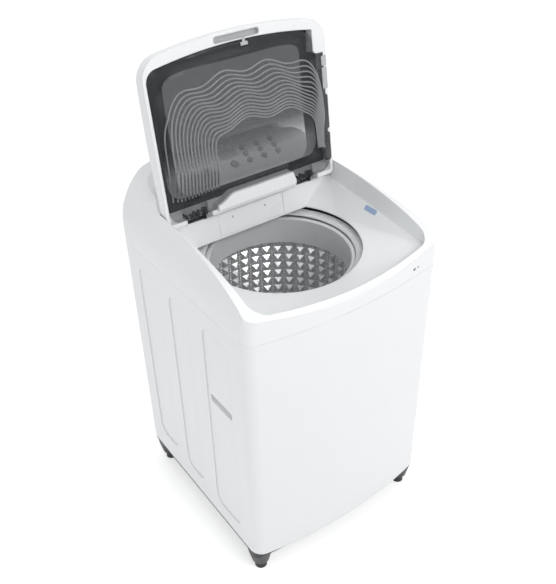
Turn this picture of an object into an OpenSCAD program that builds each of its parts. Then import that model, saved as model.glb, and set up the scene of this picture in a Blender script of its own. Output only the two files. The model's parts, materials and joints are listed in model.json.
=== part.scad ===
// Top load washing machine with a domed lid and a smoked wash tray nested in it.
// Drawn with the lid and the tray standing open, drum axis on X = Y = 0, floor at Z = 0.

/* [Cabinet] */
// Width across the side walls
body_w = 610; // [590:2:640]
// Depth from the line of the front corners to the back
side_d = 602; // [590:2:630]
// How far the middle of the front wall bows out beyond its corners
front_bow = 35; // [25:1:40]
// Radius of the two front corners in plan
corner_r = 40; // [30:1:50]
// Height of the seam between the cabinet and the top cover
seam_z = 856; // [850:1:862]
// Height of the cabinet's bottom edge above the floor
skirt_z = 94; // [88:1:100]
// Thickness of the cabinet's steel sheet
sheet = 1.6; // [1:0.1:2.5]
// Depth of the pressed fields on the side walls
field_deep = 3; // [2:0.5:5]

/* [Top cover] */
// Wall thickness of the moulded top cover
cover_t = 3; // [2:0.5:4]
// Half width of the well that the lid closes into
well_half = 270; // [268:1:272]
// Radius of the round loading opening
open_r = 219; // [210:1:221]
// Height of the loading opening's edge
opening_z = 877; // [875:1:880]
// Height of the crest at the back of the side rims
crest_z = 1000; // [996:1:1004]
// Height of the console's top
console_top = 1074; // [1068:1:1080]

/* [Lid and tray] */
// Lean of the open lid past the vertical, in degrees
lean = 7.5; // [5:0.5:10]
// Slope of the closed lid down to the front, in degrees
tilt = 5.5; // [5:0.25:6]
// Half width of the lid
lid_half = 267; // [262:1:268]
// Length of the lid from its hinge edge to the middle of its free edge
lid_len = 449; // [444:1:450]
// Depth of the lid's rim
rim_deep = 24; // [22:1:26]
// Radius of the dome of the lid along its length
dome_r = 1800; // [1500:50:2400]
// Depth of the wash tray at its hinge end
tray_deep = 42; // [30:1:46]
// Depth of the wash tray at its free end
tray_shallow = 16; // [10:1:20]
// Wall thickness of the wash tray
tray_t = 2.5; // [2:0.5:4]
// Radius of the hinge pins of lid and tray
pin_r = 3.5; // [2.5:0.25:4]

/* [Drum] */
// Inner radius of the basket
basket_r = 232; // [226:1:236]
// Radial width of the balance ring at its top
ring_w = 42; // [36:1:48]
// Height of the balance ring's top
ring_top = 848; // [840:1:850]
// Height of the balance ring's lower edge
ring_low = 758; // [745:1:765]
// Height of the basket's floor
floor_z = 330; // [310:1:350]
// Inner radius of the outer tub
tub_r = 258; // [250:1:260]
// Wall thickness of the outer tub
tub_t = 4; // [3:0.5:5]
// Radius of the pulsator
pulsator_r = 170; // [150:1:185]
// Radius of the drive shaft
shaft_r = 9; // [7:0.5:10]
// Wall thickness of the hollow spin shaft
spin_wall = 5; // [4:0.5:6]

/* [Drawer] */
// Width of the detergent drawer's front
drawer_w = 212; // [180:2:230]
// Depth of the detergent drawer behind its front
drawer_d = 138; // [110:2:142]

/* [Controls] */
// Radius of a small button
button_r = 8.5; // [6:0.5:10]
// Radius of the start button
start_r = 12; // [10:0.5:14]
// Travel of a button
press = 1; // [0.5:0.1:1.5]

/* [Feet] */
// Distance of each foot's middle from the side of the cabinet
foot_in = 35; // [32:1:45]
// Radius of a foot's pad on the floor
foot_r = 18; // [14:1:22]
// Radius of a foot's threaded stem
stem_r = 5; // [4:0.5:6]

/* [Fits] */
// Radial clearance of a shaft or pin in its bore
running = 0.05; // [0.02:0.01:0.1]
// Gap between neighbours that are not a fit
gap = 0.3; // [0.2:0.05:0.5]

/* [Hidden] */
$fn = 96;
far = 900;

// plan of the cabinet
front_y = -(side_d + front_bow) / 2;
back_y = (side_d + front_bow) / 2;
corner_y = front_y + front_bow;
bow_r = (pow(body_w / 2, 2) + pow(front_bow, 2)) / (2 * front_bow);
back_r = 14;

// side profile of the crest: a quarter ellipse from the front lip to the hinge line
crest_y = 150;
crest_a = crest_y - front_y;
crest_b = 115;
// front view of the shoulders: quarter ellipses
shoulder_a = 150;
shoulder_b = 196;
// console: its sloped face starts behind the well
slope_y = crest_y + 3;
slope_z = crest_z + 2;
slope_a = 30.7;
slope_len = 127;

// well, ledge and bowl
well_lip = 12;
well_back = 150;
well_r = 46;
ledge_in = 8;
wall_top_y = 138;
wall_low_y = 125.5;
ledge_z0 = 932.6;

// hinge line of lid and tray
hinge_y = 132;
hinge_z = 972;
hinge_s = 10;
hinge_v = 22.4;
lid_r = 60;
rim_w = 9;
skin = 3;
pocket_half = lid_half - rim_w;
pocket_s0 = 12;
band_w = 27;
pocket_s1 = lid_len - band_w;
pocket_r = 34;
notch_x0 = 135;
notch_x1 = 211;
notch_s = 34;
window_x = 206;
window_s0 = 60;
window_s1 = 376;
window_r = 40;
pane_half = pocket_half - 1;
pane_s0 = notch_s + 2;
tray_half = pocket_half - 1;
tray_s0 = pocket_s0 + 2;
tray_s1 = pocket_s1 - 2;
belly_in = 13;
belly_draft = 15;
belly_s0 = 58;
belly_slope = 40;
belly_r = 84;
floor_r = 56;
flange_t = 3;
// cut-off corner of the tray, filled by the lid: [x, s]
notch_out = [225, 338];
notch_r = 12;
// raised lower border of the lid between the hinges: [x, s] of its S-shaped ends
step_left = [-118, -60];
step_right = [124, 133];
step_s = 45;
step_v = 7;
bracket_x0 = 141;
bracket_x1 = 205;
cheek = 5;
ear_r = 8;
lid_pin_r = pin_r + 0.5;
grip_x = 66;
grip_s = lid_len - 16;
grip_w = 17;
grip_deep = 12;

// drawer
drawer_z0 = 880.5;
drawer_z1 = 943;
drawer_wall = 2;
housing_t = 2;

// drum group
tub_floor = 292;
basket_t = 1.2;
ring_r = basket_r - ring_w;
ring_out = basket_r + basket_t + 6;
splash_r = ring_r + 12;
splash_rise = 6;
cover_ring_z = 855;
spin_r = shaft_r + running + spin_wall;
case_r = 46;
case_z0 = 238;
stator_r = 112;
motor_z0 = 196;
motor_z1 = 234;
rod_x = 262;
rod_y0 = -240;
rod_y1 = 268;
rod_r = 4;
rod_top = 812;
cup_z = 372;
cup_r = 24;
spring_free = 96;
seat_z = cup_z - spring_free;

// feet
foot_x = body_w / 2 - foot_in;
foot_y0 = corner_y + foot_in;
foot_y1 = back_y - foot_in;
leg_z = 30;
nut_t = 6;
pad_t = 16;
stem_top = 84;

// fields of the side walls: [front end, back end, bottom, top]
fields = [[-210, -85, 150, 806], [-14, 82, 160, 806], [140, 248, 170, 806]];
field_r = 34;
grip_slot = [-198, -97, 560, 584];

// buttons on the sloped face: [x, distance up the face]
grid_x = [48, 96, 143];
grid_e = [104, 82, 60];
power_at = [-86, 70];
start_at = [0, 62];
panel_x = 256;
panel_e0 = 12;
panel_e1 = 122;
panel_t = 2;
board_n = -16;
display_x = [-30, 24];
display_e = [84, 112];

// closed plan outline: straight back and sides, bowed front, rounded corners
function arc_pts(cx, cy, r, a0, a1, n) =
    [for (i = [0 : n]) let (a = a0 + (a1 - a0) * i / n) [cx + r * cos(a), cy + r * sin(a)]];
function bowed(half, fy, by, rb, rc, rk) =
    let (
        cyb = fy + rb,
        cx = half - rc,
        cy = cyb - sqrt(pow(rb - rc, 2) - pow(cx, 2)),
        a = atan2(cx, cyb - cy)
    )
    concat(
        arc_pts(0, cyb, rb, -90 - a, -90 + a, 20),
        arc_pts(cx, cy, rc, -90 + a, 0, 8),
        arc_pts(half - rk, by - rk, rk, 0, 90, 4),
        arc_pts(-half + rk, by - rk, rk, 90, 180, 4),
        arc_pts(-cx, cy, rc, 180, 270 - a, 8)
    );
function plan(t) =
    bowed(body_w / 2 - t, front_y + t, back_y - t, bow_r - t, corner_r - t, max(back_r - t, 1));
function well_plan(t) =
    bowed(well_half + t, front_y + well_lip - t, well_back + t, bow_r, well_r + t, 10 + t);
function bowl_plan(t) =
    bowed(well_half - ledge_in + t, front_y + well_lip - t, wall_top_y + t, bow_r,
        well_r - 4 + t, 12 + t);
// lid outline in its own plane: x across, s from the hinge edge to the free edge
function lid_plan(half, s0, s1, r, rk) =
    [for (p = bowed(half, -s1, -s0, bow_r, r, rk)) [-p[0], -p[1]]];

module rounded_rect(w, h, r) {
    union() {
        square([w - 2 * r, h], center = true);
        square([w, h - 2 * r], center = true);
        for (x = [-1, 1], y = [-1, 1]) {
            translate([x * (w / 2 - r), y * (h / 2 - r)]) circle(r);
        }
    }
}

// extrudes a (y, z) outline across the machine
module across(w) {
    rotate([90, 0, 90]) linear_extrude(w, center = true) children();
}
// extrudes an (x, z) outline from front to back
module along(d) {
    rotate([90, 0, 0]) linear_extrude(d, center = true) children();
}
// a plate of the given thickness in a side wall's plane: children are (y, z) outlines
module on_side(side, x0, x1) {
    mirror([side < 0 ? 1 : 0, 0, 0]) translate([x0, 0, 0])
        rotate([90, 0, 90]) linear_extrude(x1 - x0) children();
}
module bar(x0, x1, y0, y1, z0, z1) {
    translate([x0, y0, z0]) cube([x1 - x0, y1 - y0, z1 - z0]);
}
module tube(r1, r0, z0, z1) {
    translate([0, 0, z0]) difference() {
        cylinder(r = r1, h = z1 - z0);
        translate([0, 0, -1]) cylinder(r = r0, h = z1 - z0 + 2);
    }
}

// ---------------------------------------------------------------- cabinet

module field_shape(f, grow) {
    w = f[1] - f[0] + 2 * grow;
    h = f[3] - f[2] + 2 * grow;
    translate([(f[0] + f[1]) / 2, (f[2] + f[3]) / 2]) rounded_rect(w, h, field_r + grow);
}
module grip_shape(grow) {
    w = grip_slot[1] - grip_slot[0] + 2 * grow;
    h = grip_slot[3] - grip_slot[2] + 2 * grow;
    translate([(grip_slot[0] + grip_slot[1]) / 2, (grip_slot[2] + grip_slot[3]) / 2])
        rounded_rect(w, h, 8 + grow);
}
module cabinet_shell() {
    wall = body_w / 2;
    deep = wall - field_deep;
    color("white") difference() {
        union() {
            translate([0, 0, skirt_z]) linear_extrude(seam_z - skirt_z) difference() {
                polygon(plan(0));
                polygon(plan(sheet));
            }
            for (side = [-1, 1]) {
                for (f = fields) {
                    on_side(side, deep - sheet, wall - sheet / 2) field_shape(f, sheet);
                }
                on_side(side, deep - 16 - sheet, deep - sheet / 2) grip_shape(sheet);
            }
            // rear flange, set in so that the service panel lies flush
            bar(-wall + back_r + 4, wall - back_r - 4, flange_y - sheet, back_y - sheet / 2,
                skirt_z, seam_z);
        }
        for (side = [-1, 1]) {
            for (f = fields) {
                on_side(side, deep, wall + 1) field_shape(f, 0);
            }
            on_side(side, deep - 16, wall) grip_shape(0);
        }
        for (x = [-1, 1], z = screw_z) {
            translate([x * screw_x, back_y, z]) rotate([90, 0, 0])
                cylinder(r = screw_r, h = 30, center = true);
        }
        bar(-wall + back_r + 4 + sheet, wall - back_r - 4 - sheet, flange_y, back_y + 1,
            skirt_z + sheet, seam_z - sheet);
        bar(-panel_half + 26, panel_half - 26, flange_y - 3 * sheet, back_y + 1,
            skirt_z + 36, seam_z - 24);
    }
}

// service panel on the back
flange_y = back_y - sheet - 3;
panel_half = body_w / 2 - back_r - 7;
drain_x = -206;
drain_z = 190;
drain_r = 15;
drain_deep = 26;
drain_half = 32;
spigot_l = 23;
hose_r = 10;
cord_x = 232;
cord_z = 762;
gland_r = 9;
screw_z = [150, 480, 812];
module rear_panel() {
    y0 = flange_y;
    y1 = y0 + sheet;
    color("gainsboro") difference() {
        union() {
            bar(-panel_half, panel_half, y0, y1, skirt_z + 8, seam_z - 8);
            for (x = [-100, 100]) {
                bar(x - 45, x + 45, y0, y1 + 2, 260, 740);
            }
            // cup round the drain's spigot
            bar(drain_x - drain_half - sheet, drain_x + drain_half + sheet,
                y1 - drain_deep - sheet, y1 - 0.1,
                drain_z - drain_half - sheet, drain_z + drain_half + sheet);
        }
        for (x = [-100, 100]) {
            bar(x - 43, x + 43, y0 - 1, y1 + 2 - sheet, 262, 738);
        }
        bar(drain_x - drain_half, drain_x + drain_half, y1 - drain_deep, y1 + 1,
            drain_z - drain_half, drain_z + drain_half);
        translate([drain_x, back_y, drain_z]) rotate([90, 0, 0])
            cylinder(r = drain_r + gap, h = 80, center = true);
        translate([cord_x, back_y, cord_z]) rotate([90, 0, 0])
            cylinder(r = gland_r, h = 30, center = true);
        for (x = [-1, 1], z = screw_z) {
            translate([x * screw_x, back_y, z]) rotate([90, 0, 0])
                cylinder(r = screw_r, h = 30, center = true);
        }
    }
}
screw_x = panel_half - 12;
screw_r = 2;

module screw() {
    // pan head screw with a cross recess, pointing along -Z
    difference() {
        union() {
            translate([0, 0, -10]) cylinder(r = screw_r, h = 11);
            cylinder(r1 = 5, r2 = 3.6, h = 2.4);
        }
        for (a = [0, 90]) {
            rotate([0, 0, a]) translate([-2.4, -0.5, 1.2]) cube([4.8, 1, 2]);
        }
    }
}
module rear_screws() {
    color("silver") for (x = [-1, 1], z = screw_z) {
        translate([x * screw_x, flange_y + sheet, z]) rotate([-90, 0, 0]) screw();
    }
}

module leg_places() {
    for (x = [-foot_x, foot_x], y = [foot_y0, foot_y1]) {
        translate([x, y, 0]) children();
    }
}
module base_frame() {
    inner = 44;
    color([0.08, 0.08, 0.09]) difference() {
        union() {
            // lower flange with a straighter front than the cabinet's
            translate([0, 0, skirt_z - 9]) linear_extrude(8.7)
                polygon(bowed(body_w / 2 - 1, front_y + 12, back_y - 1, bow_r * 1.55,
                    corner_r - 1, back_r));
            translate([0, 0, skirt_z - 1]) linear_extrude(37)
                polygon(bowed(body_w / 2 - field_deep - sheet - 1, front_y + 16,
                    flange_y - sheet - 1, bow_r * 1.55, corner_r, back_r));
            intersection() {
                leg_places() translate([0, 0, leg_z])
                    cylinder(r1 = foot_r + 8, r2 = foot_in + 3, h = skirt_z - leg_z - 8);
                linear_extrude(skirt_z)
                    polygon(bowed(body_w / 2 - 3, front_y + 14, back_y - 3, bow_r * 1.55,
                        corner_r - 3, back_r));
            }
        }
        // open middle, with the ring left around it
        translate([0, 0, skirt_z - 20]) linear_extrude(80) difference() {
            polygon(bowed(body_w / 2 - inner, front_y + inner + 8, back_y - inner,
                bow_r, 30, 20));
            for (x = [-1, 1], y = [foot_y0, foot_y1]) {
                translate([x * foot_x, y]) square(2 * foot_in + 16, center = true);
            }
        }
        // trough that leaves a thin wall above the flange
        translate([0, 0, skirt_z + 4]) linear_extrude(60) difference() {
            polygon(bowed(body_w / 2 - field_deep - sheet - 4, front_y + 19, back_y - 9,
                bow_r * 1.5, corner_r - 2, back_r));
            for (x = [-1, 1], y = [foot_y0, foot_y1]) {
                translate([x * foot_x, y]) circle(stem_r + 9);
            }
        }
        leg_places() translate([0, 0, leg_z - 1])
            cylinder(r = stem_r + running, h = 200);
    }
}
module foot() {
    color([0.12, 0.12, 0.13]) union() {
        cylinder(r1 = foot_r, r2 = foot_r - 3, h = pad_t);
        translate([0, 0, pad_t - 1]) cylinder(r = stem_r, h = stem_top - pad_t + 1);
    }
}
module foot_front_left() { translate([-foot_x, foot_y0, 0]) foot(); }
module foot_front_right() { translate([foot_x, foot_y0, 0]) foot(); }
module foot_back_left() { translate([-foot_x, foot_y1, 0]) foot(); }
module foot_back_right() { translate([foot_x, foot_y1, 0]) foot(); }
module foot_locknuts() {
    color([0.15, 0.15, 0.16]) leg_places() translate([0, 0, leg_z - gap - nut_t])
        difference() {
            union() {
                cylinder(r = stem_r + 6, h = nut_t, $fn = 6);
                bar(0, stem_r + 17, -4, 4, 0, nut_t - 2);
            }
            translate([0, 0, -1]) cylinder(r = stem_r + running, h = nut_t + 2);
        }
}

// -------------------------------------------------------------- top cover

// (y, z) outline of the top cover seen from the side
module side_profile() {
    polygon(concat(
        [[back_y + 20, seam_z - 30], [front_y - 20, seam_z - 30], [front_y - 20, crest_z - crest_b]],
        arc_crest(),
        [[slope_y, slope_z]],
        [[slope_y + slope_len * cos(slope_a), slope_z + slope_len * sin(slope_a)]],
        [[272, console_top - 2.5], [284, console_top], [298, console_top - 2]],
        [[310, console_top - 10], [back_y, console_top - 24], [back_y + 20, console_top - 40]]
    ));
}
function arc_crest() =
    [for (i = [0 : 18]) let (a = 180 - 5 * i)
        [crest_y + crest_a * cos(a), crest_z - crest_b + crest_b * sin(a)]];
// (x, z) outline of the shoulders seen from the front
function shoulder(side) =
    [for (i = [0 : 15]) let (a = side > 0 ? 6 * i : 90 - 6 * i)
        [side * (body_w / 2 - shoulder_a + shoulder_a * cos(a)),
            console_top - shoulder_b + shoulder_b * sin(a)]];
module front_profile() {
    polygon(concat(
        [[-body_w / 2, seam_z - 30], [body_w / 2, seam_z - 30]],
        shoulder(1),
        shoulder(-1)
    ));
}
module cover_body(t) {
    intersection() {
        translate([0, 0, seam_z - t]) linear_extrude(300) polygon(plan(t));
        across(far) offset(delta = -t) side_profile();
        along(far) offset(delta = -t) front_profile();
    }
}
// everything above the sloped plane of the ledge, raised by lift
module above_ledge(lift) {
    translate([0, 0, ledge_z0 + lift]) rotate([tilt, 0, 0])
        translate([-far / 2, -far / 2, 0]) cube([far, far, 400]);
}
module bowl(t) {
    hull() {
        translate([0, 0, opening_z - t]) linear_extrude(0.1) intersection() {
            circle(open_r + t);
            translate([-far / 2, wall_low_y + t - far]) square([far, far]);
        }
        translate([0, 0, ledge_z0]) rotate([tilt, 0, 0]) linear_extrude(0.1)
            polygon(bowl_plan(t));
    }
}
module panel_frame() {
    translate([0, slope_y, slope_z]) rotate([slope_a, 0, 0]) children();
}
module top_cover() {
    slot = gap + drawer_w / 2;
    color("white") difference() {
        union() {
            difference() {
                cover_body(0);
                cover_body(cover_t);
            }
            intersection() {
                cover_body(0);
                union() {
                    bowl(cover_t);
                    intersection() {
                        translate([0, 0, opening_z]) linear_extrude(200) polygon(well_plan(cover_t));
                        above_ledge(-cover_t);
                    }
                    inlet_pocket(cover_t);
                }
            }
            // bosses that hold the control board under the sloped face
            panel_frame() for (x = [-212, 212], e = [38, 84]) {
                translate([x, e, board_n + 1.6]) cylinder(r = 4, h = -board_n - 1.6 - 1);
            }
        }
        bowl(0);
        intersection() {
            translate([0, 0, opening_z]) linear_extrude(300) polygon(well_plan(0));
            above_ledge(0);
        }
        // loading opening, its back cut off by the bowl's back wall
        intersection() {
            translate([0, 0, opening_z - 20]) cylinder(r = open_r, h = 30);
            bar(-far, far, -far, wall_low_y, 0, 2000);
        }
        // drawer slot in the bowl's back wall
        bar(-slot, slot, 100, well_back + 20, drawer_z0 - gap, drawer_z1 + gap);
        // bores for the lid's pins
        translate([0, hinge_y, hinge_z]) rotate([0, 90, 0])
            cylinder(r = lid_pin_r + running, h = 2 * well_half + 8, center = true);
        // window under the control panel
        panel_frame() bar(-198, 198, 30, panel_e1 - 5, -10, 5);
        // pocket round the inlet threads
        inlet_pocket(0);
        for (x = inlet_x) {
            translate([x, back_y, inlet_z]) rotate([90, 0, 0])
                cylinder(r = inlet_r + gap, h = 80, center = true);
        }
    }
}
inlet_x = [-160, -104];
inlet_z = 978;
inlet_r = 13.2;
pocket_deep = 22;
thread_l = 16;
module inlet_pocket(t) {
    bar(inlet_x[0] - 28 - t, inlet_x[1] + 28 + t, back_y - pocket_deep - t, back_y + 1 - t,
        inlet_z - 22 - t, inlet_z + 22 + t);
}

module control_panel() {
    w = 2 * panel_x;
    h = panel_e1 - panel_e0;
    color([0.93, 0.94, 0.95]) panel_frame() difference() {
        translate([0, (panel_e0 + panel_e1) / 2, 0]) linear_extrude(panel_t)
            rounded_rect(w, h, h / 2 - 4);
        for (x = grid_x, e = grid_e) {
            translate([x, e, -1]) cylinder(r = button_r + gap, h = 9);
        }
        translate([power_at[0], power_at[1], -1]) cylinder(r = button_r + gap, h = 9);
        translate([start_at[0], start_at[1], -1]) cylinder(r = start_r + gap, h = 9);
        bar(display_x[0], display_x[1], display_e[0], display_e[1], -1, 9);
    }
}
module display_window() {
    color([0.75, 0.9, 1]) panel_frame() union() {
        bar(display_x[0] + gap, display_x[1] - gap, display_e[0] + gap, display_e[1] - gap,
            -1, panel_t);
        bar(display_x[0] - 3, display_x[1] + 3, display_e[0] - 3, display_e[1] + 3,
            -2.4, -gap);
    }
}
module control_board() {
    color("darkgreen") panel_frame() union() {
        bar(-218, 218, 31, 110, board_n, board_n + 1.6);
        for (x = grid_x, e = grid_e) {
            switch_at(x, e);
        }
        switch_at(power_at[0], power_at[1]);
        switch_at(start_at[0], start_at[1]);
        // display module and the large parts under the board
        bar(display_x[0], display_x[1], display_e[0] + 1, display_e[1] - 1,
            board_n + 1, -2.4 - gap);
        bar(-190, -120, 36, 70, board_n - 22, board_n + 0.5);
        bar(120, 180, 45, 95, board_n - 18, board_n + 0.5);
    }
}
switch_top = -11.4;
module switch_at(x, e) {
    bar(x - 3, x + 3, e - 3, e + 3, board_n + 1, switch_top);
}
module button_at(at, r) {
    panel_frame() translate([at[0], at[1], 0]) union() {
        translate([0, 0, -2.5]) cylinder(r = r, h = 6);
        translate([0, 0, -2.5]) cylinder(r = r + 2, h = 2.5 - gap);
        translate([0, 0, switch_top + press + gap]) cylinder(r = 3, h = 9);
    }
}
module small_button(i) {
    color([0.85, 0.87, 0.88]) button_at([grid_x[i % 3], grid_e[floor(i / 3)]], button_r);
}
module button_1() { small_button(0); }
module button_2() { small_button(1); }
module button_3() { small_button(2); }
module button_4() { small_button(3); }
module button_5() { small_button(4); }
module button_6() { small_button(5); }
module button_7() { small_button(6); }
module button_8() { small_button(7); }
module button_9() { small_button(8); }
module power_button() { color([0.8, 0.82, 0.84]) button_at(power_at, button_r); }
module start_button() { color([0.8, 0.82, 0.84]) button_at(start_at, start_r); }

// ------------------------------------------------- parts inside the top cover

house_half = drawer_w / 2 - 4;
house_y1 = well_back + 4 + drawer_d;
module dispenser_housing() {
    y0 = well_back + cover_t + gap;
    color("whitesmoke") difference() {
        union() {
            bar(-house_half, house_half, y0, house_y1, drawer_z0, drawer_z1);
            // ears that are screwed to the back of the well
            for (x = [-house_half, house_half - 16]) {
                bar(x, x + 16, y0, y0 + 3, drawer_z1 - 1, drawer_z1 + 26);
            }
            // water chamber on top, fed by the valve
            bar(-house_half + 20, house_half - 20, y0 + 30, house_y1 - 20,
                drawer_z1 - 1, drawer_z1 + 14);
        }
        bar(-house_half + housing_t, house_half - housing_t, y0 - 1, house_y1 - housing_t,
            drawer_z0 + housing_t, drawer_z1 - housing_t);
        bar(-house_half + 22, house_half - 22, y0 + 32, house_y1 - 22,
            drawer_z1 - housing_t - 1, drawer_z1 + 12);
        translate([spout_x, spout_y, drawer_z1]) cylinder(r = 5, h = 40);
    }
}
spout_x = inlet_x[1] + 18;
spout_y = back_y - 57;
module inlet_valve() {
    color("ivory") difference() {
        union() {
            for (x = inlet_x) {
                translate([x, back_y - 2, inlet_z]) rotate([90, 0, 0]) {
                    cylinder(r = inlet_r, h = thread_l);
                    cylinder(r = inlet_r - 0.8, h = 50);
                    translate([0, 0, pocket_deep + cover_t + gap - 2])
                        cylinder(r = inlet_r + 5, h = 4);
                }
                translate([x, back_y - 56, inlet_z - 12]) cylinder(r = 14, h = 40);
            }
            bar(inlet_x[0] - 10, inlet_x[1] + 26, back_y - 66, back_y - 48,
                inlet_z - 12, inlet_z + 8);
            // outlet spout down to the dispenser's chamber
            translate([spout_x, spout_y, drawer_z1 + 14 + gap])
                cylinder(r = 8, h = inlet_z - drawer_z1 - 14);
        }
        for (x = inlet_x) {
            translate([x, back_y - 1, inlet_z]) rotate([90, 0, 0]) cylinder(r = 7, h = 30);
        }
        translate([spout_x, spout_y, drawer_z1]) cylinder(r = 5, h = 36);
    }
}
module lid_switch() {
    color([0.2, 0.2, 0.22])
        bar(well_half + cover_t + 0.1, well_half + cover_t + 8, 92, 118, 942, 966);
}
module drain_outlet() {
    color([0.3, 0.3, 0.32]) translate([drain_x, back_y - 1, drain_z]) rotate([90, 0, 0])
        difference() {
            union() {
                cylinder(r = drain_r, h = spigot_l);
                cylinder(r = drain_r - 0.8, h = 52);
                translate([0, 0, back_y - 1 - flange_y + drain_deep + gap])
                    cylinder(r = drain_r + 8, h = 3);
            }
            translate([0, 0, -1]) cylinder(r = hose_r + gap, h = 60);
        }
}
module cord_gland() {
    color([0.15, 0.15, 0.16]) translate([cord_x, back_y - 0.2, cord_z]) rotate([90, 0, 0])
        difference() {
            union() {
                cylinder(r = gland_r - gap, h = 22);
                cylinder(r = gland_r + 4, h = back_y - 0.2 - flange_y - sheet - gap / 3);
            }
            translate([0, 0, -1]) cylinder(r = 3.6, h = 30);
        }
}

// ------------------------------------------------------- hinges, lid and tray

module hinge_brackets() {
    // seats on the flat shelf behind the bowl's back wall
    foot_z = ledge_z0 + (well_back - 1) * tan(tilt) + gap;
    color([0.1, 0.1, 0.11]) for (side = [0, 1]) mirror([side, 0, 0]) difference() {
        union() {
            bar(bracket_x0, bracket_x1, wall_top_y + 1, well_back - 0.7, foot_z, foot_z + 4);
            for (x = [bracket_x0, bracket_x1 - cheek]) {
                translate([x, hinge_y, hinge_z]) rotate([0, 90, 0])
                    cylinder(r = ear_r, h = cheek);
                bar(x, x + cheek, hinge_y + 2, well_back - 0.7, foot_z, hinge_z + 4);
            }
        }
        translate([bracket_x0 - 1, hinge_y, hinge_z]) rotate([0, 90, 0])
            cylinder(r = pin_r + running, h = bracket_x1 - bracket_x0 + 2);
    }
}
module hinge_pins() {
    color("silver") for (side = [0, 1]) mirror([side, 0, 0])
        translate([bracket_x0 - 1.5, hinge_y, hinge_z]) rotate([0, 90, 0]) union() {
            cylinder(r = pin_r, h = bracket_x1 - bracket_x0 + 3);
            translate([0, 0, -1.5]) cylinder(r = pin_r + 1.5, h = 1.5);
        }
}

// the lid's own frame: X across, Y along the lid from its hinge edge, Z out of its underside
module on_lid() {
    translate([0, hinge_y, hinge_z]) rotate([90 - lean, 0, 0])
        translate([0, -hinge_s, hinge_v]) children();
}
dome_mid = 226;
dome_top = rim_deep + dome_r - sqrt(pow(dome_r, 2) - pow(dome_mid, 2));
module dome(t) {
    translate([0, dome_mid, dome_r - dome_top]) rotate([0, 90, 0])
        cylinder(r = dome_r - t, h = far, center = true, $fn = 720);
}
module lid_slab(half, s0, s1, r, t, rk = 12) {
    intersection() {
        translate([0, 0, -100]) linear_extrude(100) polygon(lid_plan(half, s0, s1, r, rk));
        dome(t);
    }
}
module window_shape(grow) {
    translate([0, (window_s0 + window_s1) / 2])
        rounded_rect(2 * (window_x + grow), window_s1 - window_s0 + 2 * grow, window_r + grow);
}
// corner that the tray leaves to the lid
module corner_cut(grow) {
    translate([notch_out[0] - grow, notch_out[1] - grow]) union() {
        translate([notch_r, 0]) square(200);
        translate([0, notch_r]) square(200);
        translate([notch_r, notch_r]) circle(notch_r);
    }
}
// raised border between the hinges, with S-shaped ends
function s_curve(x0, x1, s0, s1, n = 8) =
    [for (k = [0 : n]) [x0 + (x1 - x0) * k / n, s0 + (s1 - s0) * (1 - cos(180 * k / n)) / 2]];
module step_shape(grow) {
    polygon(concat(
        [[step_left[0] - grow, -5]],
        s_curve(step_left[0] - grow, step_left[1] - grow, notch_s - 10, step_s + grow),
        s_curve(step_right[0] + grow, step_right[1] + grow, step_s + grow, notch_s - 10),
        [[step_right[1] + grow, -5]]
    ));
}
module lid_frame() {
    color("white") on_lid() difference() {
        union() {
            lid_slab(lid_half, 0, lid_len, lid_r, 0);
            translate([0, 0, -1]) linear_extrude(step_v + 1) intersection() {
                step_shape(0);
                translate([-far / 2, 9]) square([far, 100]);
            }
            for (side = [0, 1]) mirror([side, 0, 0]) translate([pocket_half, hinge_s, -hinge_v])
                rotate([0, 90, 0]) union() {
                    cylinder(r = 7, h = rim_w);
                    cylinder(r = lid_pin_r, h = well_half + 2.5 - pocket_half);
                }
        }
        // pocket that takes the tray
        difference() {
            intersection() {
                translate([0, 0, -100]) linear_extrude(101)
                    polygon(lid_plan(pocket_half, pocket_s0, pocket_s1, pocket_r, 6));
                dome(skin);
            }
            // solid corner beside the tray's cut-off corner
            translate([0, 0, -rim_deep]) linear_extrude(rim_deep) corner_cut(-1.5);
            // solid border between the hinges
            translate([0, 0, -rim_deep]) linear_extrude(rim_deep) step_shape(0);
        }
        // notches for the tray's hinges
        for (side = [-1, 1]) {
            translate([side * (notch_x0 + notch_x1) / 2, notch_s / 2 - 10, -50])
                linear_extrude(60) square([notch_x1 - notch_x0, notch_s + 20], center = true);
        }
        translate([0, 0, -60]) linear_extrude(70) window_shape(0);
        translate([0, 0, -grip_deep]) linear_extrude(grip_deep + 1)
            translate([0, grip_s]) rounded_rect(2 * grip_x, grip_w, 7);
    }
}
module lid_window() {
    color([0.35, 0.4, 0.43, 0.6]) on_lid() union() {
        intersection() {
            translate([0, 0, -60]) linear_extrude(60) window_shape(-gap);
            difference() {
                dome(0.5);
                dome(skin + 2);
            }
        }
        intersection() {
            translate([0, 0, -60]) linear_extrude(60)
                polygon(lid_plan(pane_half, pane_s0, pocket_s1 - 1, pocket_r - 1, 6));
            difference() {
                dome(skin + 0.5);
                dome(skin + 2);
            }
            translate([0, 0, -60]) linear_extrude(60) difference() {
                square([far, 2 * far], center = true);
                corner_cut(-0.5);
                step_shape(1);
            }
        }
    }
}
module lid_handle() {
    color([0.78, 0.79, 0.8]) on_lid() translate([0, grip_s, -grip_deep + gap]) difference() {
        linear_extrude(grip_deep - gap)
            rounded_rect(2 * (grip_x - gap), grip_w - 2 * gap, 7 - gap);
        translate([0, 0, 2]) linear_extrude(grip_deep)
            rounded_rect(2 * (grip_x - 2), grip_w - 4, 5);
    }
}

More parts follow.
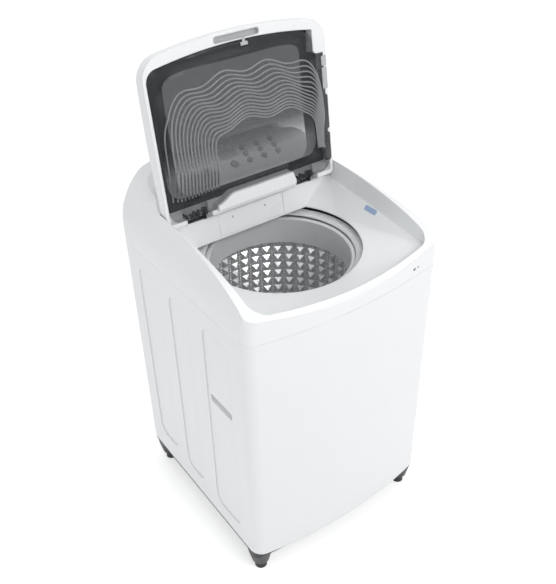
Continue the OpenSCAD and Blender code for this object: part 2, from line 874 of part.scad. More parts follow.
// belly of the tray: a shallow basin, deeper at the hinge end
module belly(t) {
    top = lid_plan(tray_half - belly_in - t, belly_s0 + t, tray_s1 - 14 - t, belly_r - t, 24);
    low = lid_plan(tray_half - belly_in - belly_draft - t, belly_s0 + belly_slope + t,
        tray_s1 - 28 - t, floor_r - t, 16);
    deep_a = atan2(tray_deep - tray_shallow, tray_s1 - tray_s0);
    hull() {
        translate([0, 0, -flange_t - (t > 0 ? 1 : 0)]) linear_extrude(1) polygon(top);
        translate([0, tray_s0, tray_deep - t]) rotate([-deep_a, 0, 0])
            translate([0, -tray_s0, -1]) linear_extrude(1) polygon(low);
    }
}
module tray_outline(grow) {
    difference() {
        polygon(lid_plan(tray_half + grow, tray_s0 - grow, tray_s1 + grow, pocket_r - 1, 30));
        corner_cut(-grow);
        step_shape(1 - grow);
    }
}
module sink_tray() {
    color([0.2, 0.21, 0.22, 0.85]) on_lid() difference() {
        union() {
            intersection() {
                translate([0, 0, -flange_t]) linear_extrude(80) tray_outline(0);
                union() {
                    translate([0, 0, -flange_t]) linear_extrude(flange_t)
                        square([far, far * 2], center = true);
                    belly(0);
                }
            }
            for (side = [-1, 1]) {
                for (x = [153, 175, 189]) {
                    translate([side * x - 3.5, 0, 0]) tray_knuckle(7);
                }
            }
            // finger grips that lap over the lid's rim
            for (g = [[42, 123], [131, 228]]) {
                translate([0, 0, gap]) linear_extrude(3)
                    translate([(tray_half + lid_half) / 2 - 8, (g[0] + g[1]) / 2])
                    rounded_rect(lid_half - tray_half + 14, g[1] - g[0], 7);
                bar(tray_half - 12, tray_half - 2, g[0] + 8, g[1] - 8, -1, 1);
            }
        }
        intersection() {
            belly(tray_t);
            translate([0, 0, -flange_t - 5]) linear_extrude(90) tray_outline(-tray_t);
        }
        translate([-far / 2, hinge_s, -hinge_v]) rotate([0, 90, 0])
            cylinder(r = pin_r + running, h = far);
    }
}
module tray_knuckle(w) {
    translate([0, hinge_s, -hinge_v]) rotate([0, 90, 0]) cylinder(r = 7, h = w);
    bar(0, w, hinge_s, hinge_s + 7, -hinge_v, -1);
    bar(0, w, hinge_s, tray_s0 + 16, -flange_t - 4, -1);
}
rib_n = 14;
module tray_ribs() {
    // wavy washboard ribs on the floor of the tray
    slope = (tray_deep - tray_shallow) / (tray_s1 - tray_s0);
    deep_a = atan(slope);
    color([0.32, 0.33, 0.34]) on_lid() translate([0, tray_s0, tray_deep]) rotate([-deep_a, 0, 0])
        translate([0, -tray_s0, 0]) for (i = [0 : rib_n - 1]) {
            linear_extrude(2) polygon(rib(i));
        }
}
rib_left = 220;
rib_right = 216;
rib_top = 354;
rib_base = [106, 130];
rib_step = [8.6, 4, 9.4];
rib_w = 1.9;
rib_wave = 8;
// a rib runs up on the left, in waves across and down on the right
function rib_mid(i, n = 34) =
    let (
        x0 = -rib_left + rib_step[0] * i,
        x1 = rib_right - rib_step[1] * i,
        crest = -63 + 8 * min(i, 6.5)
    )
    [for (k = [0 : n]) let (
        q = sin(180 * k / n - 90),
        x = (x0 + x1) / 2 + q * (x1 - x0) / 2,
        up = pow(max(1 - pow(abs(q), 7), 0), 1 / 7),
        foot = rib_base[0] + (rib_base[1] - rib_base[0]) * (q + 1) / 2,
        top = rib_top - rib_step[2] * i - 25 * pow(x / 210, 2)
            + rib_wave * cos(360 * (x - crest) / 128)
    ) [x, foot + (top - foot) * up]];
function side_step(p, q, d) = let (v = q - p) [-v[1], v[0]] * d / norm(v);
function rib(i) =
    let (m = rib_mid(i), n = len(m) - 1)
    concat(
        [for (k = [0 : n]) m[k] + side_step(m[max(k - 1, 0)], m[min(k + 1, n)], rib_w / 2)],
        [for (k = [n : -1 : 0]) m[k] - side_step(m[max(k - 1, 0)], m[min(k + 1, n)], rib_w / 2)]
    );
module tray_catch() {
    color("gainsboro") on_lid() union() {
        bar(14, 22, tray_s1 - 7, tray_s1 + 5, gap, 2);
        bar(8, 28, tray_s1 - 13, tray_s1 - 5, gap, 3.6);
    }
}
module tray_clips() {
    color([0.75, 0.76, 0.77]) on_lid() for (s = [[244, 300], [305, 330]]) {
        bar(tray_half - 8, lid_half - 2, s[0], s[1], gap, 3.4);
    }
}

// ----------------------------------------------------------------- drawer

module drawer_front() {
    w = drawer_w / 2;
    lean_y = (wall_top_y - wall_low_y) / (ledge_z0 + wall_top_y * tan(tilt) - opening_z);
    y0 = wall_low_y + lean_y * (drawer_z0 - opening_z);
    y1 = wall_low_y + lean_y * (drawer_z1 - opening_z);
    color("white") intersection() {
        bar(-w, w, 100, 200, drawer_z0, drawer_z1);
        across(far) polygon([[y0, drawer_z0], [y1, drawer_z1], [y1 + 5, drawer_z1], [y0 + 5, drawer_z0]]);
    }
}
box_half = house_half - housing_t - gap;
box_y0 = wall_top_y + 4;
box_z1 = drawer_z1 - housing_t - 6;
module drawer_box() {
    y1 = house_y1 - housing_t - 2;
    z0 = drawer_z0 + housing_t + gap;
    w = drawer_wall;
    color([0.85, 0.9, 0.95]) difference() {
        bar(-box_half, box_half, box_y0, y1, z0, box_z1);
        bar(-box_half + w, -2, box_y0 + w, y1 - w, z0 + w, box_z1 + 1);
        bar(2, box_half - w, box_y0 + w, y1 - w, z0 + w, box_z1 + 1);
    }
}
module siphon_cap() {
    color("royalblue") translate([box_half / 2, house_y1 - 34, 0]) union() {
        tube(9, 5, drawer_z0 + housing_t + gap + drawer_wall, box_z1 - 8);
        translate([0, 0, box_z1 - 10]) cylinder(r = 14, h = 3);
    }
}

// -------------------------------------------------------------- drum group

module outer_tub() {
    color("lightgrey") difference() {
        union() {
            tube(tub_r + tub_t, tub_r, tub_floor, cover_ring_z - 5);
            translate([0, 0, tub_floor]) cylinder(r = tub_r + tub_t, h = tub_t + 2);
            // lugs for the suspension
            for (x = [-1, 1], y = [rod_y0, rod_y1]) {
                lug(x * rod_x, y);
            }
        }
        translate([0, 0, tub_floor - 1]) cylinder(r = case_r - 8, h = 20);
        translate([sump_x, sump_y, tub_floor - 1]) cylinder(r = 20, h = 20);
        for (x = [-1, 1], y = [rod_y0, rod_y1]) {
            translate([x * rod_x, y, 0]) cylinder(r = rod_r + 4, h = 900);
        }
    }
}
sump_x = -150;
sump_y = 120;
module lug(x, y) {
    a = atan2(y, x);
    d = sqrt(x * x + y * y);
    translate([0, 0, cup_z]) rotate([0, 0, a]) bar(tub_r + 1, d + 11, -15, 15, 0, 8);
    translate([x, y, cup_z]) cylinder(r = 20, h = 8);
}
module tub_cover() {
    // splash ring on the tub with fine concentric ribs
    low_r = splash_r + 4;
    high_r = tub_r - 8;
    color("whitesmoke") rotate_extrude() polygon(concat(
        [[splash_r, cover_ring_z - 3], [splash_r, cover_ring_z], [low_r, cover_ring_z + 3]],
        [for (r = [low_r + 6 : 6 : high_r - 8], p = [[0, 0], [0, 1.6], [2, 1.6], [2, 0]])
            [r + p[0], cover_ring_z + 3 + p[1]
                + (r + p[0] - low_r) * splash_rise / (high_r - low_r)]],
        [[high_r, cover_ring_z + 3 + splash_rise], [tub_r + tub_t + 3, cover_ring_z + 7],
            [tub_r + tub_t + 3, cover_ring_z - 18], [tub_r + tub_t + gap, cover_ring_z - 18],
            [tub_r + tub_t + gap, cover_ring_z - 5 + gap], [low_r, cover_ring_z - 5 + gap]]
    ));
}
module suspension_cups() {
    color([0.25, 0.25, 0.27]) for (x = [-1, 1], y = [rod_y0, rod_y1]) {
        translate([x * rod_x, y, 0]) difference() {
            translate([0, 0, cup_z - 34]) cylinder(r = cup_r - 2, h = 34);
            translate([0, 0, cup_z - 35]) cylinder(r = cup_r - 4.5, h = 32);
            translate([0, 0, cup_z - 40]) cylinder(r = rod_r + 1, h = 50);
        }
    }
}
module suspension_rods() {
    color("silver") for (x = [-1, 1], y = [rod_y0, rod_y1]) {
        translate([x * rod_x, y, 0]) union() {
            translate([0, 0, seat_z - 12]) cylinder(r = rod_r, h = rod_top - seat_z + 12);
            translate([0, 0, seat_z - 4]) cylinder(r = cup_r - 5, h = 4 - gap);
            translate([0, 0, rod_top]) sphere(r = rod_r + 5);
        }
    }
}
coils = 7;
wire_r = 1.8;
coil_r = 15;
ring_sides = 6;
turn_steps = 10;
module coil_spring(z0, z1) {
    n = coils * turn_steps;
    pts = [for (i = [0 : n], k = [0 : ring_sides - 1])
        let (a = 360 * i / turn_steps, b = 360 * k / ring_sides, r = coil_r + wire_r * cos(b))
        [r * cos(a), r * sin(a), z0 + wire_r + (z1 - z0 - 2 * wire_r) * i / n + wire_r * sin(b)]];
    sides = [for (i = [0 : n - 1], k = [0 : ring_sides - 1])
        let (k2 = (k + 1) % ring_sides)
        [i * ring_sides + k, (i + 1) * ring_sides + k, (i + 1) * ring_sides + k2,
            i * ring_sides + k2]];
    ends = [[for (k = [0 : ring_sides - 1]) k],
        [for (k = [ring_sides - 1 : -1 : 0]) n * ring_sides + k]];
    polyhedron(pts, concat(sides, ends));
}
module suspension_springs() {
    color("grey") for (x = [-1, 1], y = [rod_y0, rod_y1]) {
        translate([x * rod_x, y, 0]) coil_spring(seat_z, cup_z - 3 - gap);
    }
}
module corner_brackets() {
    color("silver") intersection() {
        for (x = [-1, 1], y = [rod_y0, rod_y1]) {
            translate([x * rod_x, y, 0]) difference() {
                union() {
                    translate([0, 0, rod_top - 8]) cylinder(r = 14, h = 8);
                    mirror([x < 0 ? 1 : 0, 0, 0]) {
                        bar(0, 60, -14, 14, rod_top - 8, rod_top - 3);
                        bar(body_w / 2 - sheet - 4 - rod_x, 60, -14, 14,
                            rod_top - 40, rod_top - 3);
                    }
                }
                translate([0, 0, rod_top]) sphere(r = rod_r + 5 + gap);
                translate([0, 0, rod_top - 30]) cylinder(r = rod_r + 1, h = 60);
            }
        }
        translate([0, 0, rod_top - 60]) linear_extrude(90) polygon(plan(sheet + gap));
    }
}
module gearcase() {
    color("silver") difference() {
        union() {
            translate([0, 0, case_z0]) cylinder(r = case_r, h = tub_floor - case_z0);
            translate([0, 0, tub_floor - 10]) cylinder(r = 130, h = 9.7);
            for (a = [0 : 60 : 300]) {
                rotate([0, 0, a]) bar(40, 120, -3, 3, tub_floor - 28, tub_floor - 5);
            }
        }
        translate([0, 0, 100]) cylinder(r = spin_r + 4, h = 300);
        for (z = [case_z0 - 1, tub_floor - bearing_h]) {
            translate([0, 0, z]) cylinder(r = spin_r + 12, h = bearing_h + 1);
        }
    }
}
bearing_h = 13;
module bearings() {
    color("silver") for (z = [case_z0, tub_floor - bearing_h]) {
        tube(spin_r + 12, spin_r + running, z, z + bearing_h);
    }
}
module motor_stator() {
    color([0.55, 0.3, 0.15]) translate([0, 0, motor_z0 + 8]) difference() {
        union() {
            cylinder(r = 60, h = case_z0 - motor_z0 - 8);
            for (a = [0 : 20 : 340]) {
                rotate([0, 0, a]) {
                    bar(50, stator_r - 3, -5, 5, 2, 24);
                    bar(stator_r - 5, stator_r, -12, 12, 0, 26);
                }
            }
        }
        translate([0, 0, -1]) cylinder(r = spin_r + 4, h = 80);
    }
}
module motor_rotor() {
    color([0.2, 0.2, 0.22]) difference() {
        union() {
            tube(stator_r + 12, stator_r + 4, motor_z0, motor_z1);
            translate([0, 0, motor_z0 - 4]) cylinder(r = stator_r + 12, h = 5);
            translate([0, 0, motor_z0 - 10]) cylinder(r = 24, h = 8);
        }
        translate([0, 0, motor_z0 - 20]) cylinder(r = shaft_r, h = 60);
        for (a = [0 : 45 : 315]) {
            rotate([0, 0, a]) translate([66, 0, motor_z0 - 10]) cylinder(r = 16, h = 20);
        }
    }
}
module drain_valve() {
    color([0.8, 0.8, 0.82]) difference() {
        union() {
            translate([sump_x, sump_y, tub_floor - 62]) cylinder(r = 25, h = 62);
            translate([sump_x, sump_y, tub_floor - 40]) rotate([-90, 0, 20])
                cylinder(r = hose_r + 3, h = 60);
        }
        translate([sump_x, sump_y, tub_floor - 56]) cylinder(r = 19, h = 80);
        translate([sump_x, sump_y, tub_floor - 40]) rotate([-90, 0, 20])
            cylinder(r = hose_r + gap, h = 80);
    }
}
module drain_hose() {
    // soft hose from the drain valve to the outlet on the back
    x0 = sump_x - 50 * sin(20);
    y0 = sump_y + 50 * cos(20);
    z0 = tub_floor - 40;
    color([0.35, 0.35, 0.37]) union() {
        hose_part([x0, y0, z0], [x0 - 10, y0 + 28, z0]);
        hose_part([x0 - 10, y0 + 28, z0], [drain_x, y0 + 60, drain_z]);
        hose_part([drain_x, y0 + 60, drain_z], [drain_x, back_y - 40, drain_z]);
        translate([x0 - 10, y0 + 28, z0]) sphere(r = hose_r + 0.4);
        translate([drain_x, y0 + 60, drain_z]) sphere(r = hose_r + 0.4);
    }
}
// straight length of hose between two points
module hose_part(p, q) {
    d = q - p;
    l = norm(d);
    translate(p) rotate([0, acos(d[2] / l), atan2(d[1], d[0])]) cylinder(r = hose_r, h = l);
}

module basket() {
    color("silver") difference() {
        tube(basket_r + basket_t, basket_r, floor_z, ring_low + 20);
        for (a = [0 : perf_n - 1], z = [floor_z + 50 : 90 : ring_low - 70]) {
            rotate([0, 0, a * 360 / perf_n]) bar(basket_r - 3, basket_r + 4, -1.5, 1.5, z, z + 60);
        }
    }
}
perf_n = 14;
module basket_base() {
    color("grey") difference() {
        union() {
            translate([0, 0, floor_z - 12]) cylinder(r = basket_r - 0.2, h = 12);
            translate([0, 0, tub_floor + 12]) cylinder(r = 60, h = floor_z - tub_floor - 13);
        }
        translate([0, 0, floor_z - 6]) cylinder(r = pulsator_r + 5, h = 10);
        translate([0, 0, tub_floor]) cylinder(r = spin_r, h = 60);
        for (a = [0 : 45 : 315]) {
            rotate([0, 0, a + 22.5]) translate([basket_r - 32, 0, floor_z - 20])
                cylinder(r = 12, h = 30);
        }
    }
}
module balance_ring() {
    // hollow ring in use; its inner wall leans in towards the top
    color([0.6, 0.61, 0.63]) rotate_extrude() polygon([
        [ring_r, ring_top - 3], [ring_r + 3, ring_top], [ring_r + 9, ring_top],
        [ring_out, ring_top - 16], [ring_out, ring_low + 20.3],
        [basket_r + basket_t + gap, ring_low + 20.3], [basket_r - gap, ring_low + 20.3],
        [basket_r - gap, ring_low], [ring_r + 10, ring_low + 2]]);
}
module spin_shaft() {
    color("silver") tube(spin_r, shaft_r + running, case_z0 - 20, floor_z - 7);
}
module drive_shaft() {
    color("lightgrey") translate([0, 0, motor_z0 - 14]) cylinder(r = shaft_r, h = floor_z - motor_z0 + 22);
}
vanes = 6;
module pulsator() {
    z = floor_z - 5.5;
    color("whitesmoke") difference() {
        union() {
            translate([0, 0, z]) rotate_extrude() polygon([[0, 0], [pulsator_r, 0],
                [pulsator_r, 4], [pulsator_r - 8, 9], [90, 6], [54, 16], [36, 34], [0, 38]]);
            for (a = [0 : vanes - 1]) {
                rotate([0, 0, a * 360 / vanes]) vane(z);
            }
        }
        translate([0, 0, z - 1]) cylinder(r = shaft_r, h = 15);
        translate([0, 0, z + 28]) cylinder(r = 20, h = 30);
        for (a = [0 : 11]) {
            rotate([0, 0, a * 30 + 15]) translate([118, 0, z - 1]) cylinder(r = 4, h = 30);
        }
    }
}
module vane(z) {
    translate([0, 0, z + 2]) rotate([90, 0, 0]) linear_extrude(14, center = true)
        polygon([[20, 0], [pulsator_r - 14, 0], [pulsator_r - 14, 12], [130, 22], [80, 18], [20, 30]]);
}
module pulsator_cap() {
    color("lightblue") translate([0, 0, floor_z - 5.5 + 28 + gap]) union() {
        cylinder(r = 19.5, h = 7);
        translate([0, 0, 7]) cylinder(r1 = 19.5, r2 = 14, h = 4);
    }
}

cabinet_shell();
rear_panel();
rear_screws();
base_frame();
foot_locknuts();
top_cover();
control_panel();
display_window();
control_board();
dispenser_housing();
inlet_valve();
drain_outlet();
cord_gland();
lid_switch();
hinge_brackets();
hinge_pins();
corner_brackets();
suspension_rods();
outer_tub();
tub_cover();
suspension_cups();
suspension_springs();
gearcase();
bearings();
motor_stator();
drain_valve();
drain_hose();
basket();
basket_base();
balance_ring();
spin_shaft();
pulsator();
pulsator_cap();
drive_shaft();
motor_rotor();
lid_frame();
lid_window();
lid_handle();
sink_tray();
tray_ribs();
tray_catch();
tray_clips();
drawer_front();
drawer_box();
siphon_cap();
power_button();
start_button();
button_1();
button_2();
button_3();
button_4();
button_5();
button_6();
button_7();
button_8();
button_9();
foot_front_left();
foot_front_right();
foot_back_left();
foot_back_right();
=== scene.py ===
import bpy
import bmesh
import json
import math
from mathutils import Matrix, Vector


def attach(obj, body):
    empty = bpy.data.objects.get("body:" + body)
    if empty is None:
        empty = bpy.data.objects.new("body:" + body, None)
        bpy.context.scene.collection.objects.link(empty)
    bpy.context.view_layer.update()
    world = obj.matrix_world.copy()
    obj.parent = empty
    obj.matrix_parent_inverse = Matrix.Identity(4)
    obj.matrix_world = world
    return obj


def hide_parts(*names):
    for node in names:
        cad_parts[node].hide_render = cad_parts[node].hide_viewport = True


# Top load washing machine: dresses the CAD nodes and adds the pieces that are
# too fine for them. Cameras, lights and materials are in metres, meshes in millimetres.
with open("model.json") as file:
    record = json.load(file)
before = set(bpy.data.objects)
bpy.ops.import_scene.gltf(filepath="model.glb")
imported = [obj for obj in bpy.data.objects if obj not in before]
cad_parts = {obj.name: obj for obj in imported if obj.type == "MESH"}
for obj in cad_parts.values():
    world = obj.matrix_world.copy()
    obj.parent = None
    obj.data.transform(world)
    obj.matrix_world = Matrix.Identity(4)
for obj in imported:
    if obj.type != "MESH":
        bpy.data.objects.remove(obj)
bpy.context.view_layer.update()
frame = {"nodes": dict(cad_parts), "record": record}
nodes = frame["nodes"]
scene = bpy.context.scene


# ------------------------------------------------------------------ camera
CAMERA_AZIMUTH = -34.84
CAMERA_ELEVATION = 35.77
CAMERA_ROLL = -1.47
CAMERA_PLACE = (-1.0237, -1.4545, 2.0045)
CAMERA_LENS = 48.62


def make_camera():
    """The photograph's view, with the small roll that its camera had."""
    az, el, roll = (math.radians(a) for a in (CAMERA_AZIMUTH, CAMERA_ELEVATION, CAMERA_ROLL))
    back = Vector((math.sin(az) * math.cos(el), -math.cos(az) * math.cos(el), math.sin(el)))
    level = Vector((0, 0, 1)).cross(back).normalized()
    upright = back.cross(level)
    right = level * math.cos(roll) + upright * math.sin(roll)
    up = upright * math.cos(roll) - level * math.sin(roll)
    data = bpy.data.cameras.new("camera")
    data.sensor_width = 36
    data.lens = CAMERA_LENS
    data.clip_start = 0.05
    data.clip_end = 60
    camera = bpy.data.objects.new("camera", data)
    scene.collection.objects.link(camera)
    pose = Matrix((right, up, back)).transposed().to_4x4()
    pose.translation = Vector(CAMERA_PLACE)
    camera.matrix_world = pose
    scene.camera = camera


make_camera()


# --------------------------------------------------------------- materials
def material(name):
    """An empty node material with one Principled shader."""
    mat = bpy.data.materials.new(name)
    mat.use_nodes = True
    nt = mat.node_tree
    nt.nodes.clear()
    out = nt.nodes.new("ShaderNodeOutputMaterial")
    bsdf = nt.nodes.new("ShaderNodeBsdfPrincipled")
    nt.links.new(bsdf.outputs[0], out.inputs[0])
    return mat, nt, bsdf


def node(nt, kind, **inputs):
    """A shader node with its inputs set, by name or as i and a number."""
    new = nt.nodes.new(kind)
    for key, value in inputs.items():
        key = int(key[1:]) if key[0] == "i" and key[1:].isdigit() else key
        new.inputs[key].default_value = value
    return new


def noise_by_place(nt, place, scale, detail):
    """Noise that follows a place socket."""
    noise = node(nt, "ShaderNodeTexNoise", Scale=scale, Detail=detail)
    nt.links.new(place, noise.inputs["Vector"])
    return noise.outputs[0]


def mix_colour(nt, bsdf, factor, low, high):
    """Base colour between two colours, by a factor socket."""
    mix = nt.nodes.new("ShaderNodeMix")
    mix.data_type = "RGBA"
    mix.inputs[6].default_value = tuple(low) + (1,)
    mix.inputs[7].default_value = tuple(min(1, c) for c in high) + (1,)
    nt.links.new(factor, mix.inputs[0])
    nt.links.new(mix.outputs[2], bsdf.inputs["Base Color"])


def mottle(nt, bsdf, noise, color, darker, lighter):
    """Base colour that noise makes a little darker here and lighter there."""
    mix_colour(nt, bsdf, noise, [c * (1 - darker) for c in color],
               [c * (1 + lighter) for c in color])


def vary_roughness(nt, bsdf, noise, rough, share):
    """Roughness that noise moves up and down by a share."""
    spread = node(nt, "ShaderNodeMapRange", i1=0.3, i2=0.7, i3=rough * (1 - share),
                  i4=rough * (1 + share))
    nt.links.new(noise, spread.inputs[0])
    nt.links.new(spread.outputs[0], bsdf.inputs["Roughness"])


def plain(name, color, rough, metal=0.0, coat=0.0, edge=0.0, grain=0.0, wobble=0.0):
    """A moulded or painted finish: a faint mottle, soft edges and a fine grain."""
    mat, nt, bsdf = material(name)
    bsdf.inputs["Metallic"].default_value = metal
    bsdf.inputs["Coat Weight"].default_value = coat
    bsdf.inputs["Coat Roughness"].default_value = 0.08
    place = node(nt, "ShaderNodeTexCoord").outputs["Object"]
    noise = noise_by_place(nt, place, 7.0, 4.0)
    mottle(nt, bsdf, noise, color, 0.012 + wobble, 0.008 + wobble)
    vary_roughness(nt, bsdf, noise, rough, 0.1)
    last = None
    if edge:
        last = node(nt, "ShaderNodeBevel", Radius=edge)
        last.samples = 6
    if grain:
        bump = node(nt, "ShaderNodeBump", Strength=grain, Distance=0.0006)
        nt.links.new(noise_by_place(nt, place, 300.0, 2.0), bump.inputs["Height"])
        if last:
            nt.links.new(last.outputs[0], bump.inputs["Normal"])
        last = bump
    if last:
        nt.links.new(last.outputs[0], bsdf.inputs["Normal"])
    return mat


def brushed(name, color, rough, stretch=30, metal=1.0):
    """Metal with a fine drawn grain that runs round the vertical axis."""
    mat, nt, bsdf = material(name)
    bsdf.inputs["Metallic"].default_value = metal
    where = node(nt, "ShaderNodeTexCoord")
    scale = node(nt, "ShaderNodeMapping", Scale=(1, 1, stretch))
    nt.links.new(where.outputs["Object"], scale.inputs[0])
    noise = noise_by_place(nt, scale.outputs[0], 40.0, 3.0)
    mottle(nt, bsdf, noise, color, 0.1, 0.08)
    vary_roughness(nt, bsdf, noise, rough, 0.2)
    return mat


TINT_LOW_Z = 1.08
TINT_HIGH_Z = 1.15


def tinted(name, color, rough, alpha, alpha_high=None):
    """See-through plastic, whose tint may deepen up the open lid."""
    mat, nt, bsdf = material(name)
    bsdf.inputs["Coat Weight"].default_value = 0.1
    bsdf.inputs["Coat Roughness"].default_value = 0.05
    bsdf.inputs["Specular IOR Level"].default_value = 0.3
    bsdf.inputs["Alpha"].default_value = alpha
    place = node(nt, "ShaderNodeTexCoord").outputs["Object"]
    if alpha_high is not None:
        split = nt.nodes.new("ShaderNodeSeparateXYZ")
        nt.links.new(place, split.inputs[0])
        step = node(nt, "ShaderNodeMapRange", i1=TINT_LOW_Z, i2=TINT_HIGH_Z, i3=alpha,
                    i4=alpha_high)
        nt.links.new(split.outputs["Z"], step.inputs[0])
        nt.links.new(step.outputs[0], bsdf.inputs["Alpha"])
    noise = noise_by_place(nt, place, 9.0, 3.0)
    mottle(nt, bsdf, noise, color, 0.04, 0.04)
    vary_roughness(nt, bsdf, noise, rough, 0.2)
    return mat


def ringed(name, inner, outer, radius):
    """A moulded ring, painted black outside a radius about the drum's axis: painted shade of
    the dark gap under the top cover's edge.
    """
    mat, nt, bsdf = material(name)
    bsdf.inputs["Roughness"].default_value = 0.4
    where = node(nt, "ShaderNodeTexCoord")
    flat = node(nt, "ShaderNodeVectorMath", i1=(1, 1, 0))
    flat.operation = "MULTIPLY"
    nt.links.new(where.outputs["Object"], flat.inputs[0])
    distance = node(nt, "ShaderNodeVectorMath")
    distance.operation = "LENGTH"
    nt.links.new(flat.outputs[0], distance.inputs[0])
    step = node(nt, "ShaderNodeMapRange", i1=radius, i2=radius + 0.002, i3=0.0, i4=1.0)
    nt.links.new(distance.outputs["Value"], step.inputs[0])
    mix_colour(nt, bsdf, step.outputs[0], inner, outer)
    return mat


# Radius past which the tub cover's ring is painted black, as painted shade of the gap under the
# top cover's edge.
PAINTED_SHADE_RADIUS = 0.225
looks = {
    "white_paint": plain("white_paint", (0.86, 0.87, 0.88), 0.32, coat=0.3, edge=0.002),
    "white_plastic": plain("white_plastic", (0.87, 0.88, 0.885), 0.3, coat=0.25, edge=0.0035),
    "black_plastic": plain("black_plastic", (0.02, 0.02, 0.022), 0.42, edge=0.001, grain=0.15),
    "grey_plastic": plain("grey_plastic", (0.72, 0.73, 0.74), 0.38, edge=0.0012),
    "ring_plastic": plain("ring_plastic", (0.72, 0.73, 0.745), 0.3, edge=0.0015),
    "silver_plastic": plain("silver_plastic", (0.5, 0.51, 0.52), 0.3, edge=0.0008),
    "gloss_overlay": plain("gloss_overlay", (0.8, 0.81, 0.82), 0.16, coat=0.6, edge=0.001),
    # The display's light grey is partly a painted glare; the display glass itself is darker.
    "display_glass": plain("display_glass", (0.62, 0.64, 0.66), 0.12, coat=0.6),
    "blue_plastic": plain("blue_plastic", (0.16, 0.32, 0.62), 0.3, edge=0.001),
    "board": plain("board", (0.03, 0.14, 0.06), 0.5, wobble=0.2),
    "soft_rubber": plain("soft_rubber", (0.06, 0.06, 0.065), 0.7, grain=0.3),
    "stainless": brushed("stainless", (0.86, 0.865, 0.87), 0.24, stretch=3, metal=0.75),
    "steel": brushed("steel", (0.5, 0.51, 0.52), 0.34),
    "aluminium": brushed("aluminium", (0.6, 0.61, 0.62), 0.42),
    "copper": brushed("copper", (0.55, 0.27, 0.13), 0.4),
    "clear_pane": tinted("clear_pane", (0.03, 0.032, 0.035), 0.04, 0.05, alpha_high=0.6),
    "smoked_plastic": tinted("smoked_plastic", (0.05, 0.054, 0.06), 0.1, 0.3),
    # The ribs are the tray's own smoked plastic; their lighter grey and denser tint are a
    # painted highlight along each rib.
    "rib_plastic": tinted("rib_plastic", (0.34, 0.35, 0.36), 0.2, 0.62),
    "gloss_black": plain("gloss_black", (0.02, 0.021, 0.023), 0.2, coat=0.5),
    # The tub cover's ring: light grey, with a black outer band that is painted shade of the gap
    # under the top cover.
    "splash_ring": ringed("splash_ring", (0.74, 0.745, 0.75), (0.012, 0.012, 0.013),
                          PAINTED_SHADE_RADIUS),
    "border_print": plain("border_print", (0.012, 0.013, 0.014), 0.3),
    "print_grey": plain("print_grey", (0.2, 0.205, 0.21), 0.5),
    "ring_print": plain("ring_print", (0.9, 0.9, 0.9), 0.3),
    # Near-white metal for the holes' rolled edges: the basket's stainless made lighter, partly
    # a painted highlight.
    "bright_rim": plain("bright_rim", (0.95, 0.95, 0.95), 0.34, metal=0.8),
    "badge_blue": plain("badge_blue", (0.36, 0.47, 0.68), 0.35),
}
slots = {s["node"]: s["material_slot"] for s in frame["record"]["subparts"]}
slots["tub_cover"] = "splash_ring"
for name, obj in nodes.items():
    obj.data.materials.clear()
    obj.data.materials.append(looks[slots[name]])


# ------------------------------------------------------------ mesh helpers
def mesh_piece(name, verts, faces, look, body, smooth=True, angle=35):
    """A mesh from millimetre points, riding on a body."""
    data = bpy.data.meshes.new(name)
    data.from_pydata([[c / 1000 for c in v] for v in verts], [], faces)
    data.validate()
    obj = bpy.data.objects.new(name, data)
    scene.collection.objects.link(obj)
    bm = bmesh.new()
    bm.from_mesh(data)
    bmesh.ops.remove_doubles(bm, verts=bm.verts, dist=1e-6)
    bmesh.ops.recalc_face_normals(bm, faces=bm.faces)
    for face in bm.faces:
        face.smooth = smooth
    bm.to_mesh(data)
    bm.free()
    if smooth:
        data.set_sharp_from_angle(angle=math.radians(angle))
    data.materials.append(looks[look])
    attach(obj, body)
    return obj


def band(a, b, n):
    """Quads between two closed rows of n points that start at a and b."""
    return [(a + i, a + (i + 1) % n, b + (i + 1) % n, b + i) for i in range(n)]


def cap(a, n):
    """One face over a closed row of n points that starts at a."""
    return tuple(range(a, a + n))


def arc(x, y, r, start, turn, steps):
    """Points along an arc, by its first angle and its turn in degrees."""
    angles = [math.radians(start + turn * i / steps) for i in range(steps + 1)]
    return [(x + r * math.cos(a), y + r * math.sin(a)) for a in angles]


def circle(x, y, r, n=24):
    """A closed round outline."""
    return arc(x, y, r, 0, 360 * (n - 1) / n, n - 1)


def pill(x, y, w, h, r, steps=6):
    """A rectangle with round corners."""
    points = []
    for side, end, start in ((1, 1, 0), (-1, 1, 90), (-1, -1, 180), (1, -1, 270)):
        points += arc(x + side * (w / 2 - r), y + end * (h / 2 - r), r, start, 90, steps)
    return points


def drop(x, y, r):
    """A drop of water with its point up."""
    return [(x, y + 2.1 * r)] + arc(x, y, r, 150, 240, 14)


# ------------------------------------------------- lid and its wash tray
LEAN = math.radians(82.5)
HINGE_Y = 132
HINGE_Z = 972
HINGE_S = 10
HINGE_V = -22.4


def on_lid(x, s, v):
    """A point of the open lid: x across, s from the hinge edge, v out of its inner face."""
    s, v = s - HINGE_S, v - HINGE_V
    return (x, HINGE_Y + s * math.cos(LEAN) - v * math.sin(LEAN),
            HINGE_Z + s * math.sin(LEAN) + v * math.cos(LEAN))


BOW = 1346.43


def rounded(half, near, far, r_far, r_near):
    """Tells whether a point is in an outline with a bowed free edge and round corners."""
    bow_s = far - BOW
    far_x = half - r_far
    far_s = bow_s + math.sqrt((BOW - r_far) ** 2 - far_x ** 2)
    near_x, near_s = half - r_near, near + r_near

    def inside(x, s):
        x = abs(x)
        if x > half or s < near or math.hypot(x, s - bow_s) > BOW:
            return False
        if x > far_x and s > far_s and math.hypot(x - far_x, s - far_s) > r_far:
            return False
        return not (x > near_x and s < near_s and math.hypot(x - near_x, s - near_s) > r_near)
    return inside


NOTCH_X = 225
NOTCH_S = 338
NOTCH_R = 12
SHOULDER_S = 400
SHOULDER_R = 26


